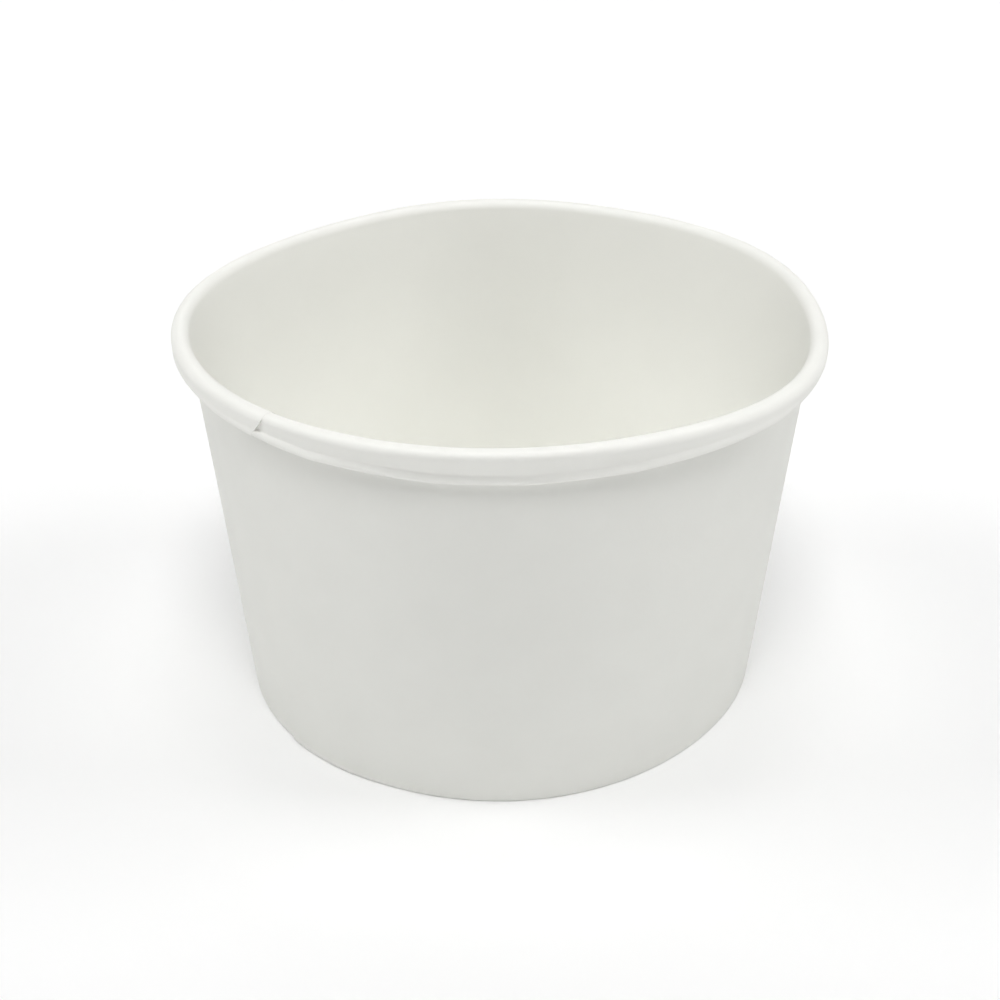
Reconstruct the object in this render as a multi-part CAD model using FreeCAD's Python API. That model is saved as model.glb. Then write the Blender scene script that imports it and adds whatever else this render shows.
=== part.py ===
"""A rolled-rim paper sundae cup, in millimetres.

The cup is two pieces of coated paperboard. The side wall is a fan-shaped blank wrapped into a cone, lapped at a
side seam, rolled outward into the rim and folded inward at the foot. The bottom disc has a skirt turned down into
that fold. The cup stands on the XY plane with its axis on Z, and the side seam lies at the front left.
"""
import FreeCAD
import Part
import math
import os

# Overall size
RIM_RADIUS = 48.0
FOOT_RADIUS = 40.0
CUP_HEIGHT = 60.0

# Boards
WALL_BOARD = 0.40
BOTTOM_BOARD = 0.35

# Rolled rim, round on top and upright outside, with its lip tucked up against the wall
CURL_WIDTH = 2.7
CURL_HEIGHT = 4.4
CURL_TUCK = 1.2
CURL_GAP = 0.04

# Foot, where the wall folds up inside the skirt of the bottom disc
FLOOR_HEIGHT = 6.5
FOLD_RADIUS = 0.25
HEM_GAP = 0.8
SEAL_GAP = 0.02

# Bottom disc
DISC_BEND_RADIUS = 0.7
SKIRT_END_GAP = 0.2

# Side seam, with angles counted anticlockwise from +X
SEAM_ANGLE = -132.5
SEAM_LAP = 5.8
SEAM_RAMP = 14.0
RAMP_SECTIONS = 7

# Corners in the tangent outline of each round bend
ROLL_CORNERS = 3
LIP_CORNERS = 2
FOLD_CORNERS = 2
DISC_CORNERS = 3

AXIS_POINT = FreeCAD.Vector(0, 0, 0)
AXIS_DIRECTION = FreeCAD.Vector(0, 0, 1)

# Top of the roll, measured to the middle of the board
roll_radius = (CURL_WIDTH - WALL_BOARD) / 2
roll_r = RIM_RADIUS - WALL_BOARD / 2 - roll_radius
roll_z = CUP_HEIGHT - WALL_BOARD / 2 - roll_radius


def wall_taper():
    """The wall's lean from upright, with its outer face running from the foot radius tangent to the roll."""
    across = roll_r - FOOT_RADIUS
    reach = math.hypot(across, roll_z)
    return math.acos((roll_radius - WALL_BOARD / 2) / reach) - math.atan2(roll_z, across)


taper = wall_taper()

# Lip of the roll, small enough to bring the tuck up parallel to the wall
tuck_room = WALL_BOARD + CURL_GAP - (CURL_HEIGHT - CURL_WIDTH) * math.sin(taper)
lip_radius = roll_radius - tuck_room / (1 + math.sin(taper) + math.cos(taper))
lip_z = CUP_HEIGHT - CURL_HEIGHT + WALL_BOARD / 2 + lip_radius


def wall_radius(height, inward):
    """Radius at a height of a line parallel to the wall, a distance inward from the wall's outer face."""
    return FOOT_RADIUS + height * math.tan(taper) - inward / math.cos(taper)


class Board:
    """The middle line of a folded board in the RZ plane, drawn by going forward and by bending."""

    def __init__(self, r, z, heading):
        """Heading is an angle turned from +Z towards +R."""
        self.place = FreeCAD.Vector(r, 0, z)
        self.heading = heading
        self.corners = []
        self._mark(1.0)

    def _mark(self, stretch):
        """Keeps this place as a corner, with the way to the board's right face and how far it is stretched."""
        rightward = FreeCAD.Vector(math.cos(self.heading), 0, -math.sin(self.heading))
        self.corners.append((self.place, rightward * stretch))

    def forward(self, length):
        self.place = self.place + FreeCAD.Vector(math.sin(self.heading), 0, math.cos(self.heading)) * length

    def bend(self, turn, radius, corners):
        """Turns on a round bend, drawn as straight lines tangent to its arc. A positive turn is from +Z to +R."""
        half_turn = turn / corners / 2
        reach = radius * math.tan(abs(half_turn))
        for corner in range(corners):
            self.forward(reach)
            self.heading += half_turn
            self._mark(1 / math.cos(half_turn))
            self.heading += half_turn
            self.forward(reach)

    def section(self, thickness):
        """The board's section: a strip of that thickness about the middle line, with square cut ends."""
        self._mark(1.0)
        right = [place + rightward * (thickness / 2) for place, rightward in self.corners]
        left = [place - rightward * (thickness / 2) for place, rightward in self.corners]
        return Part.Face(Part.makePolygon(right + left[::-1] + right[:1]))


def wall_section(lift):
    """Section of the side wall, wrapped round the inner layer of the seam at a distance from 0 to one board."""
    middle = WALL_BOARD / 2
    slot = BOTTOM_BOARD + 2 * SEAL_GAP
    hem_inward = middle + WALL_BOARD + slot + lift
    hem_top = FLOOR_HEIGHT - BOTTOM_BOARD - HEM_GAP
    hem_turn = math.pi / 2 + taper
    foot_turn = math.pi / 2 - taper
    fold_radius = FOLD_RADIUS + lift
    hem_corner = fold_radius * math.tan(hem_turn / 2)
    foot_corner = fold_radius * math.tan(foot_turn / 2)
    foot_inner = wall_radius(middle, hem_inward)
    foot_outer = wall_radius(middle, middle - lift)
    wall_length = (roll_r - foot_outer) * math.sin(taper) + (roll_z - middle) * math.cos(taper)

    board = Board(wall_radius(hem_top, hem_inward), hem_top, math.pi + taper)
    board.forward((hem_top - middle) / math.cos(taper) - hem_corner)
    board.bend(-hem_turn, fold_radius, FOLD_CORNERS)
    board.forward(foot_outer - foot_inner - hem_corner - foot_corner)
    board.bend(-foot_turn, fold_radius, FOLD_CORNERS)
    board.forward(wall_length - foot_corner)
    board.bend(math.pi / 2 - taper, roll_radius - lift, ROLL_CORNERS)
    board.bend(math.pi / 2, roll_radius - lift, ROLL_CORNERS)
    board.forward(roll_z - lip_z)
    board.bend(math.pi / 2, lip_radius - lift, LIP_CORNERS)
    board.bend(math.pi / 2 + taper, lip_radius - lift, LIP_CORNERS)
    board.forward(CURL_TUCK)
    return board.section(WALL_BOARD)


def turned(shape, degrees):
    """A copy of a shape turned about the cup's axis."""
    copy = shape.copy()
    copy.rotate(AXIS_POINT, AXIS_DIRECTION, degrees)
    return copy


def seam_ramp(start, sweep):
    """The stretch beside the seam where the outer layer comes in by one board to the plain wall."""
    wires = []
    for step in range(RAMP_SECTIONS):
        share = step / (RAMP_SECTIONS - 1)
        eased = share * share * (3 - 2 * share)
        section = wall_section(WALL_BOARD * (1 - eased))
        wires.append(turned(section, start + sweep * share).OuterWire)
    return Part.makeLoft(wires, True, False)


def side_wall():
    """The wrapped blank: a plain wall most of the way round, a two-layer lap, and the ramp beside it."""
    seam_radius = wall_radius(CUP_HEIGHT / 2, WALL_BOARD / 2)
    lap = math.degrees(SEAM_LAP / seam_radius)
    ramp = math.degrees(SEAM_RAMP / seam_radius)
    plain_section = wall_section(0.0)
    lap_section = plain_section.fuse(wall_section(WALL_BOARD)).removeSplitter().Faces[0]
    plain = turned(plain_section, SEAM_ANGLE + ramp).revolve(AXIS_POINT, AXIS_DIRECTION, 360 - lap - ramp)
    doubled = turned(lap_section, SEAM_ANGLE - lap).revolve(AXIS_POINT, AXIS_DIRECTION, lap)
    return plain.fuse([doubled, seam_ramp(SEAM_ANGLE, ramp)]).Solids[0]


def bottom_disc():
    """The round floor with its skirt turned down against the wall."""
    middle = BOTTOM_BOARD / 2
    skirt_inward = WALL_BOARD + SEAL_GAP + middle
    skirt_turn = math.pi / 2 + taper
    skirt_corner = DISC_BEND_RADIUS * math.tan(skirt_turn / 2)
    skirt_end = WALL_BOARD + SKIRT_END_GAP
    disc_z = FLOOR_HEIGHT - middle
    board = Board(0.0, disc_z, math.pi / 2)
    board.forward(wall_radius(disc_z, skirt_inward) - skirt_corner)
    board.bend(skirt_turn, DISC_BEND_RADIUS, DISC_CORNERS)
    board.forward((disc_z - skirt_end) / math.cos(taper) - skirt_corner)
    return board.section(BOTTOM_BOARD).revolve(AXIS_POINT, AXIS_DIRECTION, 360)


os.makedirs("parts", exist_ok=True)
side_wall().exportStep("parts/side_wall.step")
bottom_disc().exportStep("parts/bottom_disc.step")
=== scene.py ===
"""Paper sundae cup, dressed for the render. All lengths are in metres, in the CAD frame."""
import bpy
import math
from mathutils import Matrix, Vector


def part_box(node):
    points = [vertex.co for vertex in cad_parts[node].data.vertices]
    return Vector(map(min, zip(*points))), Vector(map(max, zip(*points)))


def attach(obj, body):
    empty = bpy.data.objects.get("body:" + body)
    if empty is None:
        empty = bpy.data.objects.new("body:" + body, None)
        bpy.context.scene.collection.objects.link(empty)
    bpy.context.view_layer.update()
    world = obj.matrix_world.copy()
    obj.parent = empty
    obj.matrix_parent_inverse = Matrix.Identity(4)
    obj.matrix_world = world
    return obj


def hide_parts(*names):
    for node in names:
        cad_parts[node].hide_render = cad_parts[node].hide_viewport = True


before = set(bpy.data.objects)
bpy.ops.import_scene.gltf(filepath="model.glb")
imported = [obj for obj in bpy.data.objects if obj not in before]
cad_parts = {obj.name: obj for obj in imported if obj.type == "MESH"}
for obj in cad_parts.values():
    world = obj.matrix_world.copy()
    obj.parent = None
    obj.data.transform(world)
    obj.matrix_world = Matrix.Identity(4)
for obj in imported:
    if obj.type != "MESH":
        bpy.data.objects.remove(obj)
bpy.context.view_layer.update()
wall_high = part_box("side_wall")[1]
disc_low, disc_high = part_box("bottom_disc")

MM = 0.001

# Sizes read from the frame
RIM_RADIUS = wall_high.x
CUP_HEIGHT = wall_high.z
FLOOR_HEIGHT = disc_high.z
SKIRT_END = disc_low.z

# Sizes of the boards, the roll and the foot, as in the CAD model
FOOT_RADIUS = 40.0 * MM
WALL_BOARD = 0.40 * MM
BOTTOM_BOARD = 0.35 * MM
CURL_WIDTH = 2.7 * MM
CURL_HEIGHT = 4.4 * MM
CURL_TUCK = 1.2 * MM
CURL_GAP = 0.04 * MM
FOLD_RADIUS = 0.25 * MM
HEM_GAP = 0.8 * MM
SEAL_GAP = 0.02 * MM
DISC_BEND_RADIUS = 0.7 * MM

# Side seam, with angles in degrees anticlockwise from +X
SEAM_ANGLE = -132.5
SEAM_LAP = 7.7
SEAM_RAMP = 17.5
LAYER_GAP = 0.01 * MM

# Shape of the roll, squeezed taller at the front and the back than at the sides
SQUEEZE_ANGLE = math.radians(86)
FACE_LEAN = math.radians(14)
FACE_LEAN_SWING = math.radians(14)
LIP_FLARE = math.radians(10)
LIP_FLARE_SWING = math.radians(8)
SHOULDER_RADIUS = 0.85 * MM
SHOULDER_SWING = 0.3 * MM
FACE_BEND_RADIUS = 0.8 * MM
LIP_LEDGE = 0.2 * MM

# Small kinks in the lower lip of the roll, as angles in degrees
LIP_KINKS = (-122, -100, -86, -69, -38, 47, 84, 121, 163)
KINK_DEPTH = 0.2 * MM
KINK_WIDTH = 3.0

# Place at the right where the roll is short and round, with angles in degrees
SHORT_SIDE = -14
SHORT_SIDE_WIDTH = 24
SHORT_SIDE_DEPTH = 1.05 * MM

# How strongly the seam's two layers are pressed together: at the roll's top and lip, and on its face
SEAM_PRESS = 0.92
FACE_PRESS = 0.45

# Where the pressing starts: below the middle of the roll's top, and above the end of its lip
TOP_PRESS_START = 0.3 * MM
LIP_PRESS_START = 2.4 * MM
LIP_PRESS_FADE = 1.6 * MM

# Share of the lean that the two stiff layers of the seam do not follow
LAP_STIFFNESS = 0.4

# How far the foot fold of the inner layer is raised over that of the outer layer
INNER_FOOT_RAISE = 0.4 * WALL_BOARD

# Slant of the flap's cut edge across the roll, in degrees, and the share of its height where it turns
SEAM_SKEW = 3.6
SKEW_PIVOT = 0.6

# Small pit that the flap's cut edge leaves in the face of the roll, with its width in degrees
NOTCH_DEPTH = 0.38 * MM
NOTCH_WIDTH = 2.4

# Camera, fitted to the outline of the cup in the photograph
CAMERA_DISTANCE = 252.2 * MM
CAMERA_ELEVATION = math.radians(29.35)
CAMERA_AIM = Vector((-0.2, 0, 27.5)) * MM
CAMERA_LENS = 57.6
SENSOR_WIDTH = 36.0
NEAREST_SEEN = 0.01
FARTHEST_SEEN = 20

# Soft boxes: name, place, size and power
LIGHTS = (
    ("overhead_softbox", (0, 0, 0.9), 0.3, 1.25),
    ("front_softbox", (0, -0.42, 0.84), 0.3, 3.3),
    ("back_softbox", (0, 0.5, 0.8), 0.4, 0.65),
    ("left_softbox", (-0.7, 0, 0.65), 0.4, 2.25),
    ("right_softbox", (0.7, 0, 0.65), 0.4, 2.35),
)

# White surround, which fades from the horizon up to the sky between two heights
HORIZON_GLOW = 0.56
SKY_GLOW = 0.07
FADE_START = 0.05
FADE_END = 0.35

# Floor, which glows more and more away from a place in front of the cup
FLOOR_SIZE = 8
FLOOR_SINK = 0.02 * MM
FLOOR_GLOW = 0.6
GLOW_CENTRE = (0, -0.25, 0)
GLOW_START = 0.15
GLOW_END = 0.9

# Surface of the boards: how fine the mottles and the fibres are, and how far the sheen varies
MOTTLE_SCALE = 130
FIBRE_SCALE = 1900
SHEEN_SPREAD = 0.06

# Mesh steps round the cup and along the boards
RINGS_PER_TURN = 640
HEM_STEPS = 4
HEM_BEND_STEPS = 5
FOOT_BEND_STEPS = 6
WALL_STEPS = 12
ROLL_STEPS = 9
SHOULDER_STEPS = 11
FACE_STEPS = 4
FACE_BEND_STEPS = 5
LIP_STEPS = 12
FLOOR_STEPS = 24
DISC_BEND_STEPS = 8
SKIRT_STEPS = 4

# Edges sharper than this are shaded as edges
SHARP_ANGLE = math.radians(40)

# Numbers of the three materials in each piece
INNER_FACE = 0
OUTER_FACE = 1
CUT_EDGE = 2

# Top of the roll, measured to the middle of the board
roll_radius = (CURL_WIDTH - WALL_BOARD) / 2
roll_r = RIM_RADIUS - WALL_BOARD / 2 - roll_radius
roll_z = CUP_HEIGHT - WALL_BOARD / 2 - roll_radius


def wall_taper():
    """The wall's lean from upright, with its outer face running from the foot radius tangent to the roll."""
    across = roll_r - FOOT_RADIUS
    reach = math.hypot(across, roll_z)
    return math.acos((roll_radius - WALL_BOARD / 2) / reach) - math.atan2(roll_z, across)


taper = wall_taper()


def wall_radius(height, inward):
    """Radius at a height of a line parallel to the wall, a distance inward from the wall's outer face."""
    return FOOT_RADIUS + height * math.tan(taper) - inward / math.cos(taper)


def ease(share):
    """A share from 0 to 1 that starts and ends gently."""
    share = min(max(share, 0.0), 1.0)
    return share * share * (3 - 2 * share)


class Board:
    """The middle line of a folded board in the RZ plane. Each point knows which way its right face looks."""

    def __init__(self, r, z, heading):
        """Heading is an angle turned from +Z towards +R."""
        self.r = r
        self.z = z
        self.heading = heading
        self.points = []
        self.mark()

    def mark(self):
        """Keeps this place as a point."""
        self.points.append((self.r, self.z, math.cos(self.heading), -math.sin(self.heading)))

    def forward(self, length, steps=1):
        for step in range(steps):
            self.r += length / steps * math.sin(self.heading)
            self.z += length / steps * math.cos(self.heading)
            self.mark()

    def bend(self, turn, radius, steps):
        """Turns on an arc. A positive turn is from +Z to +R."""
        reach = math.copysign(radius, turn)
        centre_r = self.r + reach * math.cos(self.heading)
        centre_z = self.z - reach * math.sin(self.heading)
        for step in range(steps):
            self.heading += turn / steps
            self.r = centre_r - reach * math.cos(self.heading)
            self.z = centre_z + reach * math.sin(self.heading)
            self.mark()


def wall_line(lift, clear, foot_lift, drop, lean, flare, shoulder):
    """Middle line of the side wall at one angle, and the number of its point on top of the roll.

    lift is how far this layer lies outside the inner layer of the seam. clear is how much the tuck stands
    off to make room for a second layer. foot_lift raises the fold at the foot. drop makes the roll taller,
    lean tilts its outer face inward going down, and flare turns its lip out again below. shoulder is the
    radius between the top of the roll and its outer face.
    """
    middle = WALL_BOARD / 2 + foot_lift
    slot = BOTTOM_BOARD + 2 * SEAL_GAP
    hem_inward = WALL_BOARD * 1.5 + slot + lift
    hem_top = FLOOR_HEIGHT - BOTTOM_BOARD - HEM_GAP
    hem_turn = math.pi / 2 + taper
    foot_turn = math.pi / 2 - taper
    fold_radius = FOLD_RADIUS + lift
    hem_corner = fold_radius * math.tan(hem_turn / 2)
    foot_corner = fold_radius * math.tan(foot_turn / 2)
    foot_inner = wall_radius(middle, hem_inward)
    foot_outer = wall_radius(middle, WALL_BOARD / 2 - lift)
    wall_length = (roll_r - foot_outer) * math.sin(taper) + (roll_z - middle) * math.cos(taper)
    lip_bottom = CUP_HEIGHT - CURL_HEIGHT - drop + WALL_BOARD / 2
    tuck_room = WALL_BOARD + CURL_GAP + clear
    ledge = LIP_LEDGE * flare / LIP_FLARE
    lip_part = 1 + math.sin(flare)
    face_top = roll_z + roll_radius - shoulder * (1 + math.sin(lean))
    face_drop = face_top - lip_bottom - ledge * math.cos(flare)
    face_drop -= FACE_BEND_RADIUS * (math.sin(lean) + math.sin(flare))
    face_foot = roll_r + roll_radius - shoulder * (1 - math.cos(lean)) - face_drop * math.tan(lean)
    face_foot += ledge * math.sin(flare) + FACE_BEND_RADIUS * (math.cos(lean) - math.cos(flare))
    lip_room = (face_foot - wall_radius(lip_bottom, WALL_BOARD / 2)) * math.cos(taper) - tuck_room
    spread = (math.tan(lean) - math.tan(taper)) * lip_part * math.cos(taper)
    lip_radius = lip_room / (1 + math.cos(flare + taper) - spread)
    face_length = (face_drop - lip_radius * lip_part) / math.cos(lean)

    board = Board(wall_radius(hem_top, hem_inward), hem_top, math.pi + taper)
    board.forward((hem_top - middle) / math.cos(taper) - hem_corner, HEM_STEPS)
    board.bend(-hem_turn, fold_radius, HEM_BEND_STEPS)
    board.forward(foot_outer - foot_inner - hem_corner - foot_corner)
    board.bend(-foot_turn, fold_radius, FOOT_BEND_STEPS)
    board.forward(wall_length - foot_corner, WALL_STEPS)
    board.bend(math.pi / 2 - taper, roll_radius - lift, ROLL_STEPS)
    roll_top = len(board.points) - 1
    board.forward(roll_radius - shoulder)
    board.bend(math.pi / 2 + lean, shoulder - lift, SHOULDER_STEPS)
    board.forward(face_length, FACE_STEPS)
    board.bend(-lean - flare, FACE_BEND_RADIUS + lift, FACE_BEND_STEPS)
    board.forward(ledge)
    board.bend(math.pi + taper + flare, lip_radius - lift, LIP_STEPS)
    board.forward(CURL_TUCK)
    return board.points, roll_top


def lobes(angle, count, size, peak):
    """A wave of a size in millimetres, with some lobes round the cup and a peak at an angle in degrees."""
    return size * MM * math.cos(count * (angle - math.radians(peak)))


def rim_out_of_round(angle):
    """Radius added at the rim, which is pulled back a little and not quite round."""
    return (
        lobes(angle, 1, 0.4, 75) + lobes(angle, 3, 0.2, 49) + lobes(angle, 4, 0.45, 0)
        + lobes(angle, 5, 0.4, 30) + lobes(angle, 6, 0.2, -26)
    )


def rim_rise(angle):
    """Height added at the rim, which stands highest at the front and the back."""
    return lobes(angle, 1, 0.25, 15) + lobes(angle, 2, 0.65, 86) + lobes(angle, 3, 0.3, 35)


def foot_out_of_round(angle):
    """Radius added at the foot."""
    return lobes(angle, 2, 0.25, 30) + lobes(angle, 3, 0.25, -7) + lobes(angle, 4, 0.25, 11)


def degrees_away(angle, place):
    """Degrees round the cup from an angle to a place, which is in degrees itself."""
    return abs((math.degrees(angle) - place + 180) % 360 - 180)


def lip_drop(angle):
    """Height added to the roll below, with its short side and the small kinks of its lip."""
    drop = lobes(angle, 2, 0.35, 90) + lobes(angle, 3, 0.4, -90)
    aside = degrees_away(angle, SHORT_SIDE) / SHORT_SIDE_WIDTH
    drop -= SHORT_SIDE_DEPTH * math.exp(-aside * aside)
    for kink in LIP_KINKS:
        drop += KINK_DEPTH * math.exp(-degrees_away(angle, kink) / KINK_WIDTH)
    return drop


def squeeze(angle):
    """Lean of the roll's face, flare of its lip and radius of its shoulder."""
    swing = math.cos(2 * (angle - SQUEEZE_ANGLE))
    lean = FACE_LEAN + FACE_LEAN_SWING * swing
    flare = LIP_FLARE + LIP_FLARE_SWING * swing
    return lean, flare, SHOULDER_RADIUS - SHOULDER_SWING * swing


def shaped(r, z, angle):
    """A point of the cup, moved by the unevenness of the formed board."""
    share = ease(z / CUP_HEIGHT)
    r += rim_out_of_round(angle) * share + foot_out_of_round(angle) * (1 - share)
    z += rim_rise(angle) * share
    return r * math.cos(angle), r * math.sin(angle), z


def wall_ring(turn):
    """Points of the band at an angle in degrees from its start: the right face, and then the left face."""
    layer = WALL_BOARD + LAYER_GAP
    outer = 1 - ease((turn - SEAM_LAP - SEAM_SKEW) / SEAM_RAMP)
    inner = ease((turn - 360 + SEAM_RAMP) / SEAM_RAMP)
    notch = outer * (1 - ease((turn - SEAM_LAP) / NOTCH_WIDTH))
    doubled = max(outer, inner)
    angle = math.radians(SEAM_ANGLE - SEAM_LAP + turn)
    lift = layer * outer
    drop = lip_drop(angle)
    lip_end = CUP_HEIGHT - CURL_HEIGHT - drop
    lean, flare, shoulder = squeeze(angle)
    lean *= 1 - LAP_STIFFNESS * doubled
    line, roll_top = wall_line(lift, layer * doubled, INNER_FOOT_RAISE * inner, drop, lean, flare, shoulder)
    right_face = []
    left_face = []
    for k, (r, z, out_r, out_z) in enumerate(line):
        press = SEAM_PRESS * ease((z - roll_z + TOP_PRESS_START) / roll_radius)
        rise = 1
        pit = 0
        if k > roll_top:
            lip_press = SEAM_PRESS * ease((LIP_PRESS_START - z + lip_end) / LIP_PRESS_FADE)
            press = max(press, FACE_PRESS, lip_press)
            rise = ease((z - lip_end) / (CUP_HEIGHT - lip_end))
            pit = NOTCH_DEPTH * (SEAM_PRESS - press)
        place = angle + math.radians(SEAM_SKEW) * inner * (rise - SKEW_PIVOT)
        right = WALL_BOARD / 2 - layer * press * inner - lift * press + pit * max(notch, inner)
        left = pit * notch - WALL_BOARD / 2 - lift * press
        right_face.append(shaped(r + out_r * right, z + out_z * right, place))
        left_face.append(shaped(r + out_r * left, z + out_z * left, place))
    return right_face + left_face


def board_faces(a, b, count):
    """Faces from one ring of points to the next, for both faces of a board and the cut edge at its end."""
    faces = []
    for k in range(count - 1):
        m = count + k
        faces.append((a + k, b + k, b + k + 1, a + k + 1))
        faces.append((a + m, a + m + 1, b + m + 1, b + m))
    faces.append((a + count - 1, b + count - 1, b + 2 * count - 1, a + 2 * count - 1))
    return faces, [OUTER_FACE, INNER_FACE] * (count - 1) + [CUT_EDGE]


def new_object(name, vertices, faces, materials, slots):
    """A mesh object with a material number for each face, smooth except at sharp edges."""
    mesh = bpy.data.meshes.new(name)
    mesh.from_pydata(vertices, [], faces)
    for material in materials:
        mesh.materials.append(material)
    mesh.polygons.foreach_set("material_index", slots)
    mesh.polygons.foreach_set("use_smooth", [True] * len(faces))
    mesh.update()
    mesh.set_sharp_from_angle(angle=SHARP_ANGLE)
    piece = bpy.data.objects.new(name, mesh)
    bpy.context.scene.collection.objects.link(piece)
    return piece


def make_side_wall(materials):
    """One band of board from the outer flap's cut edge, round the cup, to the inner flap's cut edge."""
    band = 360 + SEAM_LAP
    rings = round(RINGS_PER_TURN * band / 360)
    vertices = []
    for ring in range(rings + 1):
        vertices += wall_ring(band * ring / rings)
    row = len(vertices) // (rings + 1)
    count = row // 2
    faces = []
    slots = []
    for ring in range(rings):
        a = ring * row
        b = a + row
        new_faces, new_slots = board_faces(a, b, count)
        faces += new_faces
        slots += new_slots
        faces.append((a, a + count, b + count, b))
        slots.append(CUT_EDGE)
    last = rings * row
    for k in range(count - 1):
        m = count + k
        faces.append((k, k + 1, m + 1, m))
        faces.append((last + m, last + m + 1, last + k + 1, last + k))
        slots += [CUT_EDGE, CUT_EDGE]
    piece = new_object("paper_side_wall", vertices, faces, materials, slots)
    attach(piece, "root")
    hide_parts("side_wall")


def make_bottom_disc(materials):
    """The round floor with its skirt turned down against the wall."""
    middle = BOTTOM_BOARD / 2
    disc_z = FLOOR_HEIGHT - middle
    skirt_turn = math.pi / 2 + taper
    skirt_corner = DISC_BEND_RADIUS * math.tan(skirt_turn / 2)
    board = Board(0.0, disc_z, math.pi / 2)
    board.forward(wall_radius(disc_z, WALL_BOARD + SEAL_GAP + middle) - skirt_corner, FLOOR_STEPS)
    board.bend(skirt_turn, DISC_BEND_RADIUS, DISC_BEND_STEPS)
    board.forward((board.z - SKIRT_END) / math.cos(taper), SKIRT_STEPS)
    line = board.points[1:]
    count = len(line)
    row = 2 * count
    rings = RINGS_PER_TURN // 2
    centres = [(0, 0, FLOOR_HEIGHT), (0, 0, FLOOR_HEIGHT - BOTTOM_BOARD)]
    points = []
    for ring in range(rings):
        angle = 2 * math.pi * ring / rings
        for side in (middle, -middle):
            for r, z, out_r, out_z in line:
                points.append(shaped(r + out_r * side, z + out_z * side, angle))
    faces = []
    slots = []
    for ring in range(rings):
        a = len(centres) + ring * row
        b = len(centres) + (ring + 1) % rings * row
        new_faces, new_slots = board_faces(a, b, count)
        faces += new_faces + [(0, a + count, b + count), (1, b, a)]
        slots += new_slots + [INNER_FACE, OUTER_FACE]
    piece = new_object("paper_bottom_disc", centres + points, faces, materials, slots)
    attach(piece, "root")
    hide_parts("bottom_disc")


def board_material(name, pale, deep, roughness, fibre_depth, gloss):
    """Paperboard: two close whites in soft mottles, fine fibres in the surface and an even sheen."""
    material = bpy.data.materials.new(name)
    material.use_nodes = True
    nodes = material.node_tree.nodes
    links = material.node_tree.links
    shader = nodes["Principled BSDF"]
    shader.inputs["Specular IOR Level"].default_value = gloss
    place = nodes.new("ShaderNodeTexCoord")

    mottle = nodes.new("ShaderNodeTexNoise")
    mottle.inputs["Scale"].default_value = MOTTLE_SCALE
    mottle.inputs["Detail"].default_value = 4
    links.new(place.outputs["Object"], mottle.inputs["Vector"])
    tint = nodes.new("ShaderNodeValToRGB")
    tint.color_ramp.elements[0].position = 0.3
    tint.color_ramp.elements[0].color = (*deep, 1)
    tint.color_ramp.elements[1].position = 0.7
    tint.color_ramp.elements[1].color = (*pale, 1)
    links.new(mottle.outputs["Fac"], tint.inputs["Fac"])
    links.new(tint.outputs["Color"], shader.inputs["Base Color"])

    fibre = nodes.new("ShaderNodeTexNoise")
    fibre.inputs["Scale"].default_value = FIBRE_SCALE
    fibre.inputs["Detail"].default_value = 6
    fibre.inputs["Roughness"].default_value = 0.6
    fibre.inputs["Distortion"].default_value = 0.7
    links.new(place.outputs["Object"], fibre.inputs["Vector"])
    sheen = nodes.new("ShaderNodeMapRange")
    sheen.inputs["To Min"].default_value = roughness - SHEEN_SPREAD
    sheen.inputs["To Max"].default_value = roughness + SHEEN_SPREAD
    links.new(fibre.outputs["Fac"], sheen.inputs["Value"])
    links.new(sheen.outputs["Result"], shader.inputs["Roughness"])
    bump = nodes.new("ShaderNodeBump")
    bump.inputs["Strength"].default_value = 0.6
    bump.inputs["Distance"].default_value = fibre_depth
    links.new(fibre.outputs["Fac"], bump.inputs["Height"])
    links.new(bump.outputs["Normal"], shader.inputs["Normal"])
    return material


def coated_board():
    """The smooth coated side of the boards, which faces the food."""
    return board_material(
        "coated_board", pale=(0.93, 0.93, 0.89), deep=(0.92, 0.92, 0.88),
        roughness=0.65, fibre_depth=0.012 * MM, gloss=0.2,
    )


def plain_board():
    """The uncoated outer side of the boards."""
    return board_material(
        "plain_board", pale=(0.87, 0.873, 0.832), deep=(0.855, 0.858, 0.817),
        roughness=0.7, fibre_depth=0.02 * MM, gloss=0.25,
    )


def cut_board():
    """The rough cut edges of the boards."""
    return board_material(
        "cut_board", pale=(0.78, 0.775, 0.74), deep=(0.70, 0.69, 0.65),
        roughness=0.85, fibre_depth=0.05 * MM, gloss=0.2,
    )


def floor_material():
    """White that glows more and more away from the place that the lamps light best."""
    material = bpy.data.materials.new("studio_floor")
    material.use_nodes = True
    nodes = material.node_tree.nodes
    links = material.node_tree.links
    shader = nodes["Principled BSDF"]
    shader.inputs["Base Color"].default_value = (0.94, 0.94, 0.94, 1)
    shader.inputs["Roughness"].default_value = 0.9
    shader.inputs["Specular IOR Level"].default_value = 0.2
    shader.inputs["Emission Color"].default_value = (1, 1, 1, 1)
    place = nodes.new("ShaderNodeTexCoord")
    away = nodes.new("ShaderNodeVectorMath")
    away.operation = "DISTANCE"
    away.inputs[1].default_value = GLOW_CENTRE
    links.new(place.outputs["Object"], away.inputs[0])
    glow = nodes.new("ShaderNodeMapRange")
    glow.inputs["From Min"].default_value = GLOW_START
    glow.inputs["From Max"].default_value = GLOW_END
    glow.inputs["To Max"].default_value = FLOOR_GLOW
    links.new(away.outputs["Value"], glow.inputs["Value"])
    links.new(glow.outputs["Result"], shader.inputs["Emission Strength"])
    return material


def make_floor():
    """A wide white floor, just under the cup."""
    bpy.ops.mesh.primitive_plane_add(size=FLOOR_SIZE, location=(0, 0, -FLOOR_SINK))
    floor = bpy.context.object
    floor.name = "studio_floor"
    floor.data.materials.append(floor_material())


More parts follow.
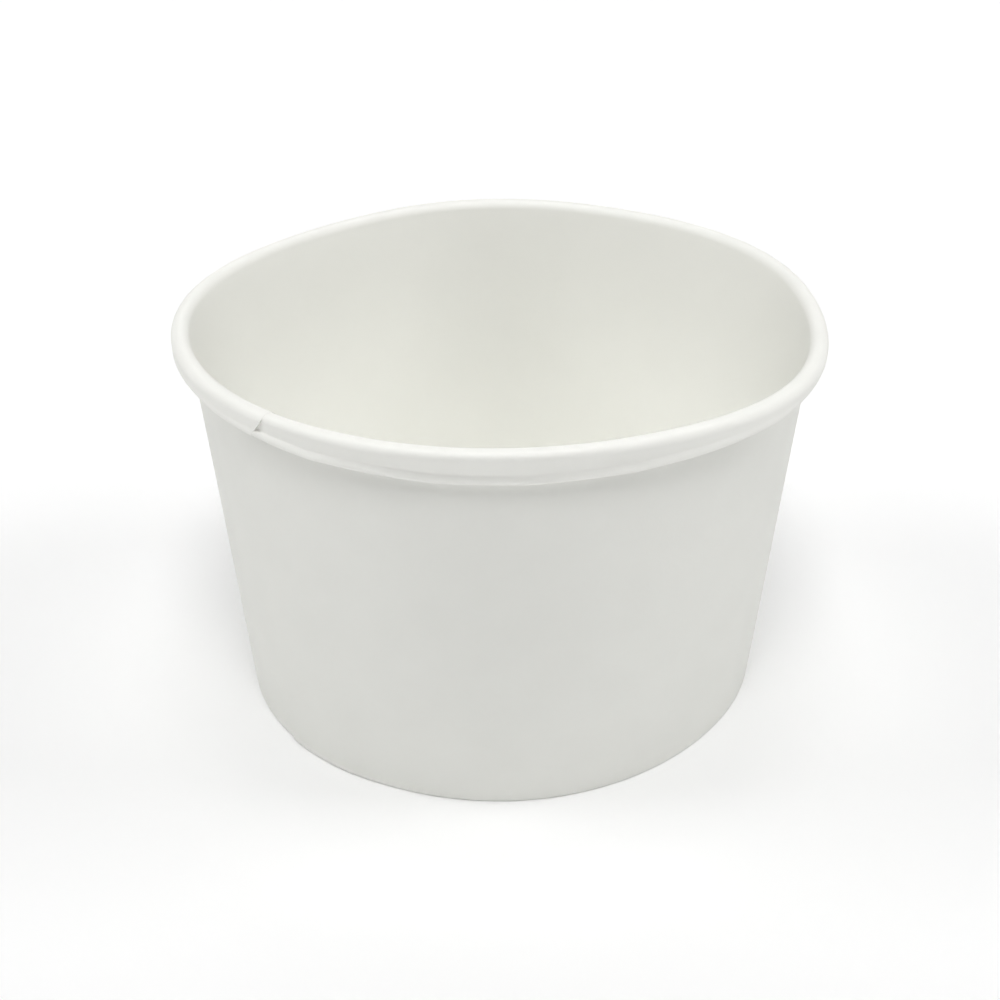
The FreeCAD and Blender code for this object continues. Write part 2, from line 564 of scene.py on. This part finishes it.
def aim(thing, place, target):
    """Puts a lamp or a camera at a place and points it at a target."""
    thing.location = place
    thing.rotation_mode = "QUATERNION"
    thing.rotation_quaternion = (target - place).to_track_quat("-Z", "Y")


def make_lights():
    """Soft boxes round the cup, all aimed at its middle."""
    for name, place, size, power in LIGHTS:
        light = bpy.data.lights.new(name, "AREA")
        light.size = size
        light.energy = power
        lamp = bpy.data.objects.new(name, light)
        bpy.context.scene.collection.objects.link(lamp)
        aim(lamp, Vector(place), Vector((0, 0, CUP_HEIGHT / 2)))


def make_surround():
    """A white surround, brightest at the horizon."""
    world = bpy.data.worlds.new("studio")
    world.use_nodes = True
    nodes = world.node_tree.nodes
    links = world.node_tree.links
    place = nodes.new("ShaderNodeTexCoord")
    height = nodes.new("ShaderNodeSeparateXYZ")
    links.new(place.outputs["Generated"], height.inputs["Vector"])
    fade = nodes.new("ShaderNodeMapRange")
    fade.interpolation_type = "SMOOTHSTEP"
    fade.inputs["From Min"].default_value = FADE_START
    fade.inputs["From Max"].default_value = FADE_END
    fade.inputs["To Min"].default_value = HORIZON_GLOW
    fade.inputs["To Max"].default_value = SKY_GLOW
    links.new(height.outputs["Z"], fade.inputs["Value"])
    links.new(fade.outputs["Result"], nodes["Background"].inputs["Strength"])
    nodes["Background"].inputs["Color"].default_value = (1, 1, 1, 1)
    bpy.context.scene.world = world


def make_camera():
    """The camera in front of the cup, looking down into it."""
    camera = bpy.data.objects.new("camera", bpy.data.cameras.new("camera"))
    bpy.context.scene.collection.objects.link(camera)
    back = Vector((0, -math.cos(CAMERA_ELEVATION), math.sin(CAMERA_ELEVATION)))
    aim(camera, CAMERA_AIM + back * CAMERA_DISTANCE, CAMERA_AIM)
    camera.data.lens = CAMERA_LENS
    camera.data.sensor_width = SENSOR_WIDTH
    camera.data.clip_start = NEAREST_SEEN
    camera.data.clip_end = FARTHEST_SEEN
    bpy.context.scene.camera = camera


board_materials = [coated_board(), plain_board(), cut_board()]
make_side_wall(board_materials)
make_bottom_disc(board_materials)
make_floor()
make_lights()
make_surround()
make_camera()
bpy.context.scene.view_settings.view_transform = "Standard"
